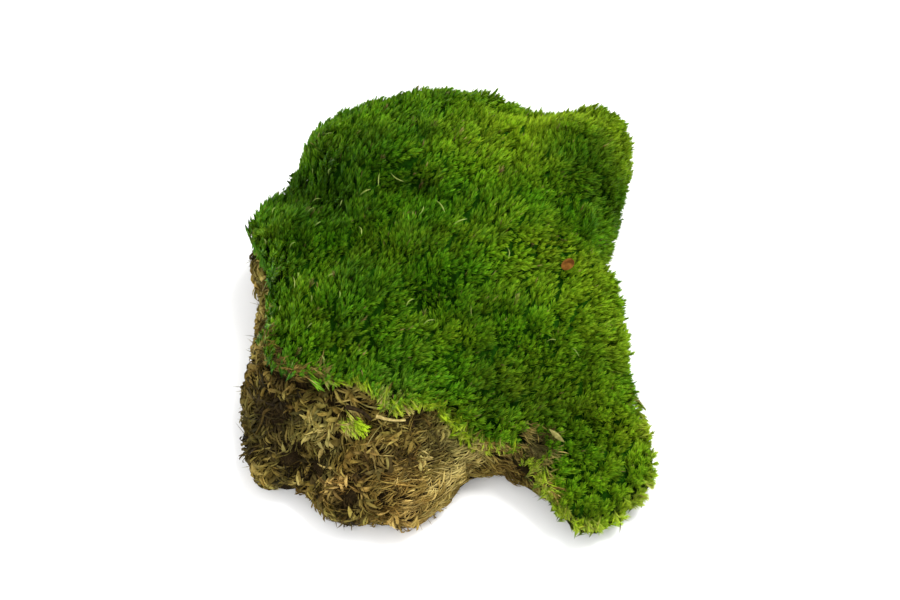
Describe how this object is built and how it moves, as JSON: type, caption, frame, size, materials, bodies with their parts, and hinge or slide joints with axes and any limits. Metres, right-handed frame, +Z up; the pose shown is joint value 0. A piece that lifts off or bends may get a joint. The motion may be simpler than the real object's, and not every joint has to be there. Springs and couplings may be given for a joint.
{
  "type": "moss clump",
  "caption": "Clump of cushion moss: a lumpy green cushion with a low lobe at one corner, grown on a mat of dead brown stems that is flat underneath.",
  "frame": {"origin": "middle in plan of the clump's box, at the surface that it rests on", "axes": "+X right and +Y back as the picture shows the clump, +Z up"},
  "size_m": [0.1282, 0.1554, 0.0526],
  "materials": {
    "living_moss": "deep fresh green, soft and matt, made of fine pointed shoots",
    "dead_stems": "matted dry brown and tan stems, matt",
    "lime_moss": "yellow-green young shoots, matt",
    "rust_scale": "rust-brown dry scale, slightly shiny",
    "tan_leaf": "tan dry leaf, matt",
    "dry_straw": "pale dry grass stalk, matt",
    "dark_twig": "dark brown weathered twig, matt"
  },
  "bodies": {
    "root": {"moss_cushion": "living_moss", "stem_mat": "dead_stems", "side_tuft": "lime_moss", "bud_scale": "rust_scale", "dry_leaf": "tan_leaf", "straw": "dry_straw", "twig": "dark_twig"}
  },
  "joints": []
}
